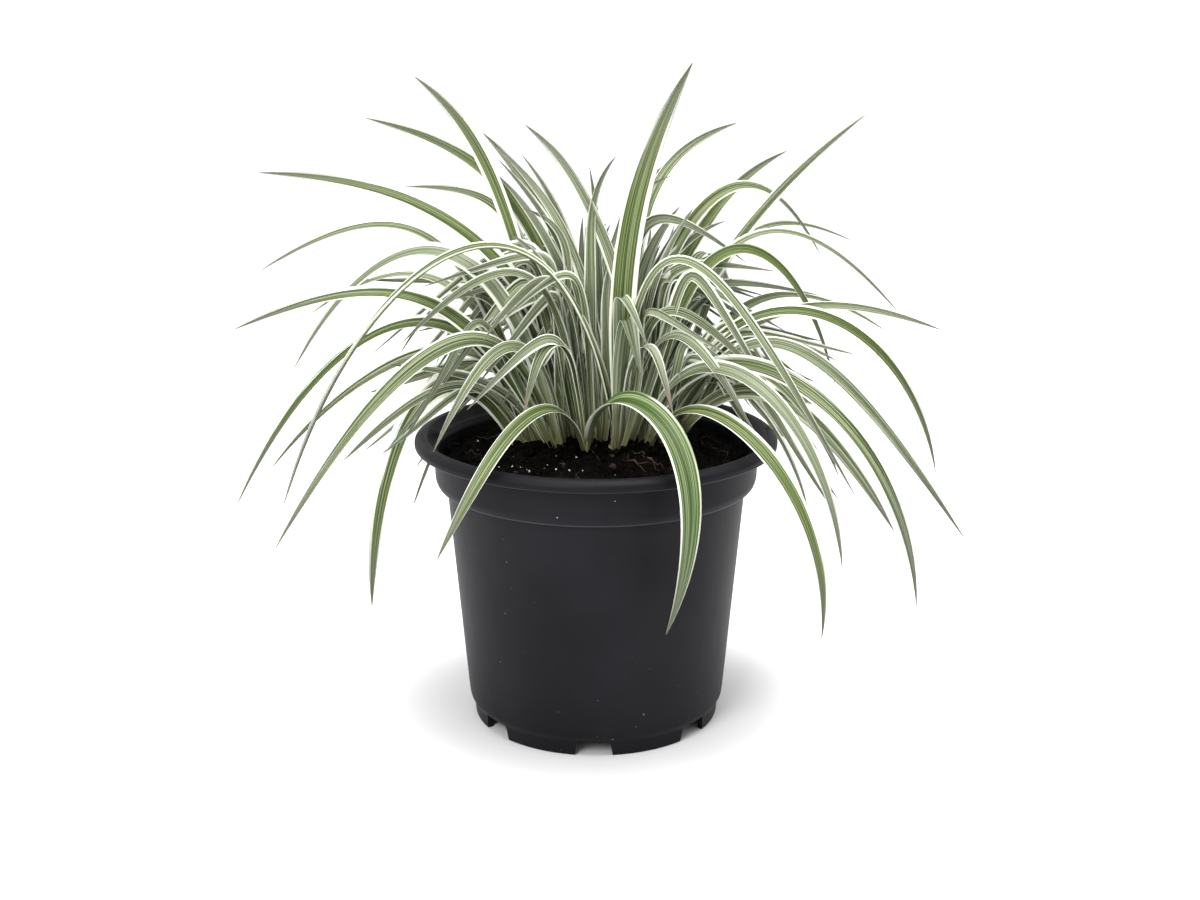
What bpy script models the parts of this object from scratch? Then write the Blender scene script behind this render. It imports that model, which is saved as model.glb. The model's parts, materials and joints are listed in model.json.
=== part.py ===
"""Potted ornamental grass clump: a variegated sedge in a black nursery pot.

The pot stands on z = 0 with its axis on the Z axis. +X is to the viewer's right, -Y faces
the viewer and +Z is up. Driving dimensions are in millimetres and scaled once, by MM.
"""
import bpy
import bmesh
import math
import random

MM = 0.001
GAP = 0.3                  # clearance between pieces that rest on each other

# Nursery pot
LIP_RADIUS = 85.0
POT_HEIGHT = 140.0
OPENING_RADIUS = 78.5
COLLAR_RADIUS = 76.0
COLLAR_BOTTOM = 116.0
COLLAR_TOP = 134.5
WALL_TOP_RADIUS = 70.5
WALL_FOOT_RADIUS = 62.5
FOOT_RADIUS = 59.6
FOOT_HEIGHT = 9.0
WALL = 1.6
POT_SIDES = 48
HOLE_COUNT = 7
FIRST_HOLE = -91.0         # angle of the notch at the front, counted from +X towards +Y
HOLE_WIDTH_LOW = 18.0
HOLE_WIDTH_HIGH = 15.0
HOLE_BOTTOM = -1.0
HOLE_TOP = 8.0
TAB_ANGLE = 47.0           # the small lug on the rim, counted from +X towards +Y
TAB_WIDTH = 12.0
TAB_RISE = 3.2

# Soil
SOIL_LEVEL = 130.0         # height of the flat crown of the soil
SOIL_EDGE = 127.5          # height at the pot's wall
CROWN_RADIUS = 46.0

# Leaf sheaths: where each shoot stands on the soil, and how tall its bundle is
SHOOT_RADIUS = 3.8
SHOOTS = {
    "a": (-31.0, 2.0, 14.0),
    "b": (-19.0, -7.0, 15.0),
    "c": (-17.0, 9.0, 16.0),
    "d": (-4.0, -12.0, 16.0),
    "e": (-3.0, 7.0, 16.5),
    "f": (9.0, -8.0, 17.0),
    "g": (12.0, 9.0, 17.0),
    "h": (23.0, -3.0, 15.0),
    "i": (32.0, 8.0, 14.0),
}

# Leaf blades
THICKNESS = 0.9
STATIONS = 12              # cross-sections along a blade
BASE_NARROWING = 0.6       # width where a blade leaves its sheath, over its full width
FLANK = 8.5                # how far from its shoot's axis a blade would start at soil level
FLANK_SLOPE = 0.33         # and how much nearer it starts for each millimetre of height
FOLD = 0.3                 # how far a blade's edges stand above its keel, over half its width

# One row per blade: name, shoot, start height above the soil, heading (degrees from +X
# towards +Y), slope at the start, height of the crest (0 when the blade is still rising
# at its tip), reach of the tip from the shoot, height of the tip, slope at the tip, width,
# and roll (degrees that the upper face is turned towards -Y).
BLADES = [
    ("leaf_left_1", "e", 14, 180, 72, 0, 148, 257, 3, 8.6, 30),
    ("leaf_left_2", "a", 17, 166, 75, 232, 132, 209, -30, 6.5, 20),
    ("leaf_left_3", "b", 18, 172, 77, 223, 124, 167, -58, 9.5, 30),
    ("leaf_left_4", "b", 10, 186, 64, 207, 143, 192, -22, 8.0, 25),
    ("leaf_left_5", "a", 13, 188, 74, 192, 138, 108, -62, 8.0, 20),
    ("leaf_left_6", "b", 14, 205, 73, 188, 135, 103, -55, 8.0, 20),
    ("leaf_left_7", "a", 9, 202, 62, 164, 90, 134, -38, 6.0, 20),
    ("leaf_left_8", "f", 18, 191.0, 80, 228, 153.5, 116, -70, 5.0, 30),
    ("leaf_left_9", "a", 6, 168, 62, 161, 83, 44, -87, 8.0, 0),
    ("leaf_left_10", "c", 13, 142, 76, 245, 96, 244, -4, 6.0, 30),
    ("leaf_top_1", "f", 20, 15, 88, 0, 34, 304, 58, 10.0, 60),
    ("leaf_top_2", "c", 19, 165, 78, 0, 67, 297, 36, 7.5, 25),
    ("leaf_top_3", "g", 18, 160, 80, 0, 68, 272, 38, 6.5, 30),
    ("leaf_top_4", "e", 18, 150, 80, 0, 124, 276, 10, 7.0, 30),
    ("leaf_top_5", "g", 22, 46, 86, 0, 80, 274, 8, 6.0, 30),
    ("leaf_top_6", "h", 18, 150, 84, 0, 64, 276, 32, 6.0, 40),
    ("leaf_top_7", "e", 18, 60, 88, 0, 24, 262, 25, 6.0, 40),
    ("leaf_right_1", "g", 8, 18, 62, 0, 119, 279, 34, 7.0, 30),
    ("leaf_right_2", "g", 14, 40, 70, 0, 106, 260, 15, 7.0, 30),
    ("leaf_right_3", "g", 18, 26, 78, 248, 108, 213, -56, 7.0, 25),
    ("leaf_right_4", "i", 13, 35, 70, 229, 116, 217, -22, 5.0, 20),
    ("leaf_right_5", "g", 11, 8, 70, 229, 133, 190, -47, 6.0, 20),
    ("leaf_right_6", "h", 17, 17, 82, 222, 96, 156, -72, 6.0, 25),
    ("leaf_right_7", "i", 13, 6, 66, 195, 132, 183, -20, 7.0, 25),
    ("leaf_right_8", "i", 17, 352, 70, 196, 128, 122, -78, 7.0, 25),
    ("leaf_right_9", "i", 9, 341, 66, 183, 144, 99, -53, 7.0, 25),
    ("leaf_right_10", "h", 12, 334, 72, 177, 134, 75, -84, 6.5, 20),
    ("leaf_right_11", "i", 5, 340, 58, 160, 112, 100, -58, 7.0, 20),
    ("leaf_front_1", "d", 12, 300, 70, 165, 70, 66, -118, 13.5, 20),
    ("leaf_front_2", "h", 7, 312, 62, 157, 112, 69, -94, 7.5, 20),
    ("leaf_front_3", "d", 8, 236, 66, 159, 111, 112, -46, 8.0, 20),
    ("leaf_front_4", "d", 18, 342, 82, 222, 126, 122, -57, 5.5, 30),
    ("leaf_front_5", "f", 13, 352, 80, 198, 66, 170, -43, 6.0, 30),
    ("leaf_front_6", "h", 13, 321, 76, 176, 109, 96, -82, 7.0, 20),
    ("leaf_front_7", "h", 8, 357, 74, 172, 42, 160, -38, 6.0, 25),
    ("leaf_front_8", "e", 18, 216, 86, 211, 58, 188, -49, 6.0, 30),
    ("leaf_front_9", "d", 15, 218, 80, 188, 66, 163, -35, 5.5, 30),
    ("leaf_front_10", "f", 15, 296, 86, 196, 25, 173, -68, 9.0, 10),
    ("leaf_front_11", "f", 12, 312, 84, 184, 38, 156, -71, 6.0, 10),
    ("leaf_back_1", "e", 14, 112, 74, 215, 97, 176, -48, 7.0, 0),
    ("leaf_back_2", "g", 12, 80, 72, 205, 95, 150, -58, 7.0, 0),
    ("leaf_back_3", "c", 11, 128, 66, 198, 108, 150, -55, 6.5, 0),
    ("leaf_back_4", "i", 15, 66, 72, 214, 104, 172, -50, 6.5, 0),
    ("leaf_back_5", "e", 8, 94, 60, 176, 94, 96, -80, 7.5, 0),
]

# Blades whose arch isn't even: how much longer than usual its first and last handles are.
HABITS = {
    "leaf_left_1": (1.15, 1.15),
    "leaf_left_3": (1.0, 1.2),
    "leaf_left_5": (1.0, 1.3),
    "leaf_left_6": (1.0, 1.2),
    "leaf_left_9": (1.0, 1.2),
    "leaf_top_2": (1.5, 0.6),
    "leaf_top_3": (1.0, 0.6),
    "leaf_top_4": (1.4, 1.0),
    "leaf_top_5": (1.3, 1.2),
    "leaf_top_6": (1.4, 0.6),
    "leaf_right_10": (1.0, 1.3),
    "leaf_front_1": (1.0, 2.6),
    "leaf_front_2": (1.0, 1.5),
    "leaf_front_3": (1.0, 1.2),
    "leaf_front_6": (1.0, 1.4),
}


def material(name, colour, roughness, metallic=0.0):
    """A plain Principled material."""
    made = bpy.data.materials.new(name)
    made.use_nodes = True
    shader = made.node_tree.nodes["Principled BSDF"]
    shader.inputs["Base Color"].default_value = (*colour, 1.0)
    shader.inputs["Roughness"].default_value = roughness
    shader.inputs["Metallic"].default_value = metallic
    return made


def mesh_object(name, points, faces, look, smooth_angle=35.0):
    """An object from points in millimetres, with one material."""
    mesh = bpy.data.meshes.new(name)
    mesh.from_pydata([(x * MM, y * MM, z * MM) for x, y, z in points], [], faces)
    mesh.materials.append(look)
    mesh.shade_smooth()
    mesh.set_sharp_from_angle(angle=math.radians(smooth_angle))
    made = bpy.data.objects.new(name, mesh)
    bpy.context.scene.collection.objects.link(made)
    return made


def lathe(profile, sides):
    """Points and faces of a profile turned about Z; it starts and ends on the axis."""
    rows = profile[1:-1]
    points = [(0.0, 0.0, profile[0][1])]
    for radius, height in rows:
        for k in range(sides):
            turn = 2.0 * math.pi * k / sides
            points.append((radius * math.cos(turn), radius * math.sin(turn), height))
    points.append((0.0, 0.0, profile[-1][1]))
    last = len(points) - 1
    faces = []
    for k in range(sides):
        n = (k + 1) % sides
        faces.append((0, 1 + n, 1 + k))
        for row in range(len(rows) - 1):
            low = 1 + row * sides
            high = low + sides
            faces.append((low + k, low + n, high + n, high + k))
        top = 1 + (len(rows) - 1) * sides
        faces.append((top + k, top + n, last))
    return points, faces


def pot_profile():
    """Half-section of the pot, from under the floor, up the outside and down the inside."""
    wall_in = WALL_TOP_RADIUS - WALL
    return [
        (0.0, FOOT_HEIGHT),
        (FOOT_RADIUS - 3.0, FOOT_HEIGHT),
        (FOOT_RADIUS - 2.4, 0.0),
        (FOOT_RADIUS, 0.0),
        (FOOT_RADIUS + 0.5, 7.0),
        (WALL_FOOT_RADIUS - 0.6, FOOT_HEIGHT),
        (WALL_FOOT_RADIUS, FOOT_HEIGHT + 4.0),
        (WALL_TOP_RADIUS, COLLAR_BOTTOM),
        (COLLAR_RADIUS - 2.0, COLLAR_BOTTOM + 0.4),
        (COLLAR_RADIUS - 0.4, COLLAR_BOTTOM + 2.5),
        (COLLAR_RADIUS, COLLAR_TOP),
        (LIP_RADIUS - 1.0, COLLAR_TOP + 0.3),
        (LIP_RADIUS, COLLAR_TOP + 1.6),
        (LIP_RADIUS - 0.3, POT_HEIGHT - 1.2),
        (LIP_RADIUS - 2.0, POT_HEIGHT),
        (OPENING_RADIUS + 1.5, POT_HEIGHT),
        (OPENING_RADIUS, POT_HEIGHT - 1.2),
        (COLLAR_RADIUS - WALL, COLLAR_TOP - 2.0),
        (COLLAR_RADIUS - WALL - 0.4, COLLAR_BOTTOM + 2.6),
        (wall_in, COLLAR_BOTTOM - 0.4),
        (WALL_FOOT_RADIUS - WALL, FOOT_HEIGHT + 4.0),
        (WALL_FOOT_RADIUS - WALL - 3.0, FOOT_HEIGHT + 2.0),
        (0.0, FOOT_HEIGHT + 2.0),
    ]


def soil_profile():
    """Half-section of the soil body: a gap inside the pot, with a flat crown."""
    inner = COLLAR_RADIUS - WALL - 0.4 - GAP
    wall_in = WALL_TOP_RADIUS - WALL - GAP - 0.1
    foot_in = WALL_FOOT_RADIUS - WALL - GAP - 0.1
    return [
        (0.0, FOOT_HEIGHT + 2.0 + GAP),
        (foot_in - 3.4, FOOT_HEIGHT + 2.0 + GAP),
        (foot_in, FOOT_HEIGHT + 4.6),
        (wall_in, COLLAR_BOTTOM + 0.2),
        (inner, COLLAR_BOTTOM + 3.4),
        (inner, SOIL_EDGE),
        (inner - 7.0, SOIL_EDGE + 0.2),
        (inner - 15.0, SOIL_EDGE + 1.2),
        (inner - 22.0, SOIL_EDGE + 2.0),
        (CROWN_RADIUS, SOIL_LEVEL),
        (0.0, SOIL_LEVEL),
    ]


def cut_box(name, low, high, angle):
    """A tapered radial cutter for one drain hole in the foot."""
    outer = FOOT_RADIUS + 6.0
    inner = FOOT_RADIUS - 8.0
    points = []
    for height, half in ((HOLE_BOTTOM, low / 2.0), (HOLE_TOP, high / 2.0)):
        for radius, side in ((inner, -half), (outer, -half), (outer, half), (inner, half)):
            points.append((radius, side, height))
    faces = [(3, 2, 1, 0), (4, 5, 6, 7), (0, 1, 5, 4), (1, 2, 6, 5), (2, 3, 7, 6), (3, 0, 4, 7)]
    cutter = mesh_object(name, points, faces, bpy.data.materials["black_plastic"])
    cutter.rotation_euler = (0.0, 0.0, math.radians(angle))
    cutter.hide_render = True
    cutter.display_type = "WIRE"
    return cutter


def build_pot():
    """The moulded pot: thin tapered wall, collar band, lip, recessed floor, drain holes."""
    look = material("black_plastic", (0.018, 0.018, 0.021), 0.42)
    points, faces = lathe(pot_profile(), POT_SIDES)
    pot = mesh_object("nursery_pot", points, faces, look)
    for k in range(HOLE_COUNT):
        angle = FIRST_HOLE + 360.0 * k / HOLE_COUNT
        cutter = cut_box(f"hole_cutter_{k}", HOLE_WIDTH_LOW, HOLE_WIDTH_HIGH, angle)
        cut = pot.modifiers.new(f"hole_{k}", "BOOLEAN")
        cut.operation = "DIFFERENCE"
        cut.object = cutter
    tab = build_tab(look)
    join = pot.modifiers.new("tab", "BOOLEAN")
    join.operation = "UNION"
    join.object = tab
    return pot


def build_tab(look):
    """The rounded lug that stands on the rim, as a guide joined to the pot by its Boolean."""
    steps = 8
    half = TAB_WIDTH / 2.0
    outline = [(-half, -1.5)]
    for k in range(steps + 1):
        turn = math.pi * (1.0 - k / steps)
        outline.append((half * math.cos(turn), TAB_RISE * math.sin(turn) ** 0.6))
    outline.append((half, -1.5))
    count = len(outline)
    front = OPENING_RADIUS + 2.2
    points = []
    for radius in (front, front + 1.6):
        for side, height in outline:
            points.append((radius, side, POT_HEIGHT + height))
    faces = [tuple(range(count)), tuple(range(2 * count - 1, count - 1, -1))]
    for k in range(count):
        n = (k + 1) % count
        faces.append((n, k, count + k, count + n))
    tab = mesh_object("tab_guide", points, faces, look)
    tab.rotation_euler = (0.0, 0.0, math.radians(TAB_ANGLE))
    tab.hide_render = True
    tab.display_type = "WIRE"
    return tab


def build_soil():
    """The peat body: flat where the shoots stand, lumpy outside them."""
    look = material("peat", (0.022, 0.015, 0.011), 0.95)
    sides = 36
    points, faces = lathe(soil_profile(), sides)
    rng = random.Random(7)
    lumpy = []
    for x, y, z in points:
        radius = math.hypot(x, y)
        if z > SOIL_EDGE - 0.5 and radius > CROWN_RADIUS + 1.0:
            z += rng.uniform(-1.3, 1.1)
        lumpy.append((x, y, z))
    return mesh_object("potting_soil", lumpy, faces, look, 60.0)


def build_shoot(key, x, y, height):
    """A bundle of folded leaf sheaths standing on the soil: a fluted, tapering stub."""
    look = bpy.data.materials.get("sheath") or material("sheath", (0.52, 0.55, 0.33), 0.5)
    sides = 10
    floor = SOIL_LEVEL + GAP
    rows = [(0.0, 1.0), (0.35, 0.95), (0.7, 0.82), (1.0, 0.6)]
    points = []
    for share, size in rows:
        for k in range(sides):
            turn = 2.0 * math.pi * k / sides
            flute = 1.0 if k % 2 else 0.86
            radius = SHOOT_RADIUS * size * flute
            points.append((radius * math.cos(turn), radius * math.sin(turn), height * share))
    faces = [tuple(range(sides - 1, -1, -1))]
    for row in range(len(rows) - 1):
        for k in range(sides):
            n = (k + 1) % sides
            low = row * sides
            faces.append((low + k, low + n, low + sides + n, low + sides + k))
    top = (len(rows) - 1) * sides
    faces.append(tuple(range(top, top + sides)))
    shoot = mesh_object(f"shoot_{key}", points, faces, look)
    shoot.location = (x * MM, y * MM, floor * MM)
    return shoot


def bezier(points, t):
    """Point of the cubic curve with the four given control points, at t."""
    s = 1.0 - t
    weights = (s ** 3, 3.0 * s * s * t, 3.0 * s * t * t, t ** 3)
    return tuple(sum(w * p[axis] for w, p in zip(weights, points)) for axis in range(2))


def arch(start, slope, crest, tip, dip, early, late):
    """Control points, in the blade's own vertical plane, of the arch through its crest.

    The handles share one length, times the factors early and late: two fifths of the chord
    for a blade that is still rising, else the length, found by halving, whose curve tops out
    at the crest's height.
    """
    chord = math.dist(start, tip)

    def curve(handle):
        first = (start[0] + early * handle * math.cos(slope),
                 start[1] + early * handle * math.sin(slope))
        last = (tip[0] - late * handle * math.cos(dip), tip[1] - late * handle * math.sin(dip))
        return [start, first, last, tip]

    if crest == 0:
        return curve(0.4 * chord)
    short, long = 0.05 * chord, 2.0 * chord
    for _ in range(30):
        middle = 0.5 * (short + long)
        controls = curve(middle)
        top = max(bezier(controls, k / 40.0)[1] for k in range(41))
        if top < crest:
            short = middle
        else:
            long = middle
    return curve(short)


def blade_width(t, width):
    """Width along a blade: narrow at the sheath, full by a third, drawn out to a point."""
    swell = min(1.0, t / 0.3)
    base = BASE_NARROWING + (1.0 - BASE_NARROWING) * math.sin(0.5 * math.pi * swell)
    return width * base * (1.0 - 0.93 * t ** 3.0)


def build_blade(name, shoot, start_height, heading, slope, crest, reach, tip, dip, width, roll):
    """One strap leaf: a thin keeled strip carried along its arch."""
    look = bpy.data.materials.get("leaf") or material("leaf", (0.33, 0.44, 0.22), 0.42)
    root_x, root_y, _ = SHOOTS[shoot]
    heading = math.radians(heading)
    out = (math.cos(heading), math.sin(heading), 0.0)
    side = (-math.sin(heading), math.cos(heading), 0.0)
    start = (FLANK - FLANK_SLOPE * start_height, SOIL_LEVEL + start_height)
    early, late = HABITS.get(name, (1.0, 1.0))
    controls = arch(start, math.radians(slope), crest, (reach, tip), math.radians(dip),
                    early, late)
    turn = math.copysign(math.radians(roll), math.cos(heading))
    points = []
    for k in range(STATIONS):
        t = k / (STATIONS - 1)
        along, height = bezier(controls, t)
        ahead = bezier(controls, min(1.0, t + 0.01))
        behind = bezier(controls, max(0.0, t - 0.01))
        run, rise = ahead[0] - behind[0], ahead[1] - behind[1]
        length = math.hypot(run, rise)
        up = (-rise / length, run / length)      # across the blade's face, in its plane
        half = 0.5 * blade_width(t, width)
        fold = FOLD * half
        for across, lift in ((-half, fold), (0.0, -0.5 * THICKNESS), (half, fold),
                             (0.0, 0.5 * THICKNESS)):
            sideways = across * math.cos(turn) - lift * math.sin(turn)
            raised = across * math.sin(turn) + lift * math.cos(turn)
            reach_here = along + up[0] * raised
            points.append((
                root_x + out[0] * reach_here + side[0] * sideways,
                root_y + out[1] * reach_here + side[1] * sideways,
                height + up[1] * raised,
            ))
    faces = [(3, 1, 0), (3, 2, 1)]
    for k in range(STATIONS - 1):
        low = 4 * k
        for a in range(4):
            b = (a + 1) % 4
            faces.append((low + b, low + 4 + b, low + 4 + a, low + a))
    end = 4 * (STATIONS - 1)
    faces.append((end + 1, end + 3, end))
    faces.append((end + 2, end + 3, end + 1))
    return mesh_object(name, points, faces, look, 60.0)


for old in list(bpy.data.objects):
    bpy.data.objects.remove(old)

build_pot()
build_soil()
for key, (x, y, height) in SHOOTS.items():
    build_shoot(key, x, y, height)
for row in BLADES:
    build_blade(*row)
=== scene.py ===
"""A potted ornamental grass clump: a variegated sedge growing in a black nursery pot.

It is put together in this order: studio, pot, soil, sheaths round the leaf bases, leaves.
Sizes are in millimetres, turned into metres where a mesh is made.
"""
import json
import math
import bmesh
import bpy
import numpy as np
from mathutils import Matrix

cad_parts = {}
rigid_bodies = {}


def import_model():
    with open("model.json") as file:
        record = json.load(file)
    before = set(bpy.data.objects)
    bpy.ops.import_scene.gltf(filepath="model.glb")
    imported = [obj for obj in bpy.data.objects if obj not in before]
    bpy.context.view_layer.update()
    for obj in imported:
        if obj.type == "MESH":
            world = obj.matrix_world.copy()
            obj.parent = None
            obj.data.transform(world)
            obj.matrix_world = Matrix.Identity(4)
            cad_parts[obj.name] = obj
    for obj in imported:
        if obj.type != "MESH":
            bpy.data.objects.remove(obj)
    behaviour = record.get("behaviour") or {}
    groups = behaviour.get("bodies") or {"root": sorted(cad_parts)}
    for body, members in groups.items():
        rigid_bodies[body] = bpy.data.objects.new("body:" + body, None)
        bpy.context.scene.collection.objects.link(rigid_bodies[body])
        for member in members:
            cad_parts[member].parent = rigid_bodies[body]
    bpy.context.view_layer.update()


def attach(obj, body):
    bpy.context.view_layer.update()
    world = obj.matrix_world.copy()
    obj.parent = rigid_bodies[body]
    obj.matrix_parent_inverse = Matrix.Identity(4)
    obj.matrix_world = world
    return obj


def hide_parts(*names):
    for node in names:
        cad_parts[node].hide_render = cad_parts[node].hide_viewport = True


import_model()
MM = 0.001


# --------------------------------------------------------------
# Studio. A sweep of pale paper under large soft lights, which glows with painted light away from the pot
# so that it renders white;
# near the pot it takes only the lamps' light and the faint shadow the pot throws. The camera stands
# about three quarters of a metre in front of the pot, a little higher than the top of its leaves, and
# looks down on it.
# --------------------------------------------------------------
def studio_object(name, data, place, turn=(0.0, 0.0, 0.0)):
    """Links a camera or light at a place, turned by XYZ angles in degrees."""
    made = bpy.data.objects.new(name, data)
    made.location = place
    made.rotation_euler = [math.radians(angle) for angle in turn]
    bpy.context.scene.collection.objects.link(made)
    return made


CAMERA_PLACE = (0.0, -0.740, 0.335)
CAMERA_PITCH = 20.4            # degrees below level
lens = bpy.data.cameras.new("camera")
lens.sensor_width = 36.0
lens.lens = 48.7
lens.shift_x = 0.0033
lens.shift_y = 0.1172
lens.clip_start = 0.01
bpy.context.scene.camera = studio_object(
    "camera", lens, CAMERA_PLACE, (90.0 - CAMERA_PITCH, 0.0, 0.0))

world = bpy.data.worlds.new("white_room")
world.use_nodes = True
room = world.node_tree
ray = room.nodes.new("ShaderNodeTexCoord")
parts = room.nodes.new("ShaderNodeSeparateXYZ")
behind = room.nodes.new("ShaderNodeMapRange")
behind.inputs["From Min"].default_value = -0.5
behind.inputs["From Max"].default_value = 0.15
behind.inputs["To Min"].default_value = 0.7     # the dim side of the room, behind the camera
behind.inputs["To Max"].default_value = 1.15
room.links.new(ray.outputs["Generated"], parts.inputs[0])
room.links.new(parts.outputs["Y"], behind.inputs["Value"])
room.links.new(behind.outputs["Result"], room.nodes["Background"].inputs["Strength"])
room.nodes["Background"].inputs["Color"].default_value = (1.0, 1.0, 1.0, 1.0)
bpy.context.scene.world = world
bpy.context.scene.view_settings.view_transform = "Standard"

for light_name, place, turn, size, power in (
        ("overhead_softbox", (0.1, -0.15, 1.3), (6.0, 4.0, 0.0), 0.9, 18.0),
        ("front_softbox", (-0.6, -1.2, 1.0), (52.0, 0.0, -26.0), 0.7, 19.0)):
    lamp = bpy.data.lights.new(light_name, "AREA")
    lamp.shape = "SQUARE"
    lamp.size = size
    lamp.energy = power
    studio_object(light_name, lamp, place, turn)


class Value:
    """A socket of a material that takes part in Python sums: each sum adds a Math node."""

    def __init__(self, look, socket):
        self.look = look
        self.socket = socket

    def math(self, operation, first, second=0.0):
        return self.look.node("Math", {"operation": operation}, {0: first, 1: second})

    def __add__(self, other):
        return self.math("ADD", self, other)

    def __radd__(self, other):
        return self.math("ADD", other, self)

    def __sub__(self, other):
        return self.math("SUBTRACT", self, other)

    def __rsub__(self, other):
        return self.math("SUBTRACT", other, self)

    def __mul__(self, other):
        return self.math("MULTIPLY", self, other)

    def __rmul__(self, other):
        return self.math("MULTIPLY", other, self)

    def size(self):
        """Its distance from zero."""
        return self.math("ABSOLUTE", self)

    def wave(self):
        """The sine of it."""
        return self.math("SINE", self)

    def step(self, low, high):
        """0 below low, 1 above high, and a smooth ramp between; high may be the lower one."""
        if low < high:
            return self.look.node(
                "MapRange", {"interpolation_type": "SMOOTHSTEP"},
                {"Value": self, "From Min": low, "From Max": high})
        return 1.0 - self.step(high, low)


class Look:
    """A Principled material, and the one method that adds any node to it."""

    def __init__(self, name, **constants):
        self.material = bpy.data.materials.new(name)
        self.material.use_nodes = True
        self.tree = self.material.node_tree
        self.shader = self.tree.nodes["Principled BSDF"]
        for key, value in constants.items():
            self.shader.inputs[key.replace("_", " ")].default_value = value

    def node(self, kind, settings, sockets, out=0):
        """A node by type: settings first, then the values or links of its sockets."""
        made = self.tree.nodes.new("ShaderNode" + kind)
        for key, value in settings.items():
            setattr(made, key, value)
        for key, value in sockets.items():
            if isinstance(value, Value):
                self.tree.links.new(value.socket, made.inputs[key])
            else:
                made.inputs[key].default_value = value
        return Value(self, made.outputs[out])

    def place(self):
        """Where a point is in its object, in metres."""
        return self.node("TexCoord", {}, {}, out="Object")

    def attribute(self, name):
        """A number stored on the mesh."""
        return self.node("Attribute", {"attribute_name": name}, {}, out="Fac")

    def point(self, x, y, z):
        """A vector from three numbers."""
        return self.node("CombineXYZ", {}, {0: x, 1: y, 2: z})

    def noise(self, vector, scale, detail=2.0, rough=0.5):
        """Soft cloudy noise between 0 and 1."""
        return self.node(
            "TexNoise", {}, {"Vector": vector, "Scale": scale, "Detail": detail, "Roughness": rough})

    def mix(self, share, first, second):
        """A colour between two, by share. Each is a value or three numbers."""
        first, second = (
            colour + (1.0,) if isinstance(colour, tuple) else colour for colour in (first, second))
        return self.node(
            "Mix", {"data_type": "RGBA"}, {0: share, 6: first, 7: second}, out=2)

    def feed(self, socket, value):
        """Links a varying value to the shader."""
        self.tree.links.new(value.socket, self.shader.inputs[socket])

    def bump(self, height, strength, distance):
        """Feeds the shader's normal with a relief, its depth in metres."""
        normal = self.node(
            "Bump", {}, {"Strength": strength, "Distance": distance, "Height": height})
        self.feed("Normal", normal)


# The paper glows with painted light: none within 7 cm of the pot's middle, rising to a grey glow of 0.5
# beyond 15 cm, so the floor renders white away from the pot while the lamps' shadow shows beside it.
paper = Look("glowing_paper", Base_Color=(0.64, 0.64, 0.645, 1.0), Roughness=0.8, Emission_Strength=1.0)
from_pot = paper.node("VectorMath", {"operation": "LENGTH"}, {0: paper.place()}, out="Value")
paper.feed("Emission Color", paper.mix(
    from_pot.step(0.07, 0.15), (0.0, 0.0, 0.0), (0.5, 0.5, 0.5)))
floor_mesh = bpy.data.meshes.new("paper_sweep")
floor_mesh.from_pydata(
    [(-4.0, -4.0, 0.0), (4.0, -4.0, 0.0), (4.0, 4.0, 0.0), (-4.0, 4.0, 0.0)], [], [(0, 1, 2, 3)])
floor_mesh.materials.append(paper.material)
sweep = bpy.data.objects.new("paper_sweep", floor_mesh)
bpy.context.scene.collection.objects.link(sweep)


# --------------------------------------------------------------
# Nursery pot. A thin-walled pot injection-moulded in black polypropylene: a turned-over
# lip, a collar band, a gently tapered wall, and a foot ring cut by seven drain notches.
# --------------------------------------------------------------
def unit(vectors):
    """Vectors scaled to a length of one."""
    return vectors / np.linalg.norm(vectors, axis=-1, keepdims=True)


def rounded(corners):
    """A smooth profile through corners (radius, height, rounding).

    Each corner is cut back by its rounding along both sides, and a quadratic curve with the
    corner as its middle control point joins the two cuts in six steps.
    """
    corners = np.array(corners, float)
    turn = np.linspace(0.0, 1.0, 7)[:, None]
    path = [corners[:1, :2]]
    for before, here, after in zip(corners[:-2], corners[1:-1], corners[2:]):
        corner, cut = here[:2], here[2]
        first = corner + cut * unit(before[:2] - corner)
        last = corner + cut * unit(after[:2] - corner)
        path.append((1 - turn) ** 2 * first + 2 * turn * (1 - turn) * corner + turn ** 2 * last)
    path.append(corners[-1:, :2])
    return np.concatenate(path)


def grid_faces(rows, columns, closed):
    """Quads of a grid of points numbered row by row; closed joins its last column to its first."""
    row, column = np.meshgrid(np.arange(rows - 1), np.arange(columns - (not closed)), indexing="ij")
    following = (column + 1) % columns
    quads = np.stack([row * columns + column, row * columns + following,
                      (row + 1) * columns + following, (row + 1) * columns + column], axis=-1)
    return quads.reshape(-1, 4)


def piece(name, points, quads, look, slot, marks=None, uv=None):
    """A mesh object from points in millimetres and quads, riding on the one body.

    marks holds one array of numbers per point for each named attribute; uv one pair per point.
    """
    mesh = bpy.data.meshes.new(name)
    mesh.vertices.add(len(points))
    mesh.vertices.foreach_set("co", (np.asarray(points) * MM).astype(np.float32).ravel())
    mesh.loops.add(quads.size)
    mesh.loops.foreach_set("vertex_index", quads.astype(np.int32).ravel())
    mesh.polygons.add(len(quads))
    mesh.polygons.foreach_set("loop_start", np.arange(len(quads), dtype=np.int32) * 4)
    mesh.update(calc_edges=True)
    for key, values in (marks or {}).items():
        mesh.attributes.new(key, "FLOAT", "POINT").data.foreach_set(
            "value", np.asarray(values, np.float32))
    if uv is not None:
        layer = mesh.uv_layers.new(name="strip")
        layer.data.foreach_set("uv", np.asarray(uv, np.float32)[quads.ravel()].ravel())
    mesh.materials.append(look.material)
    mesh.shade_smooth()
    made = bpy.data.objects.new(name, mesh)
    bpy.context.scene.collection.objects.link(made)
    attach(made, "root")
    return made


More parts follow.
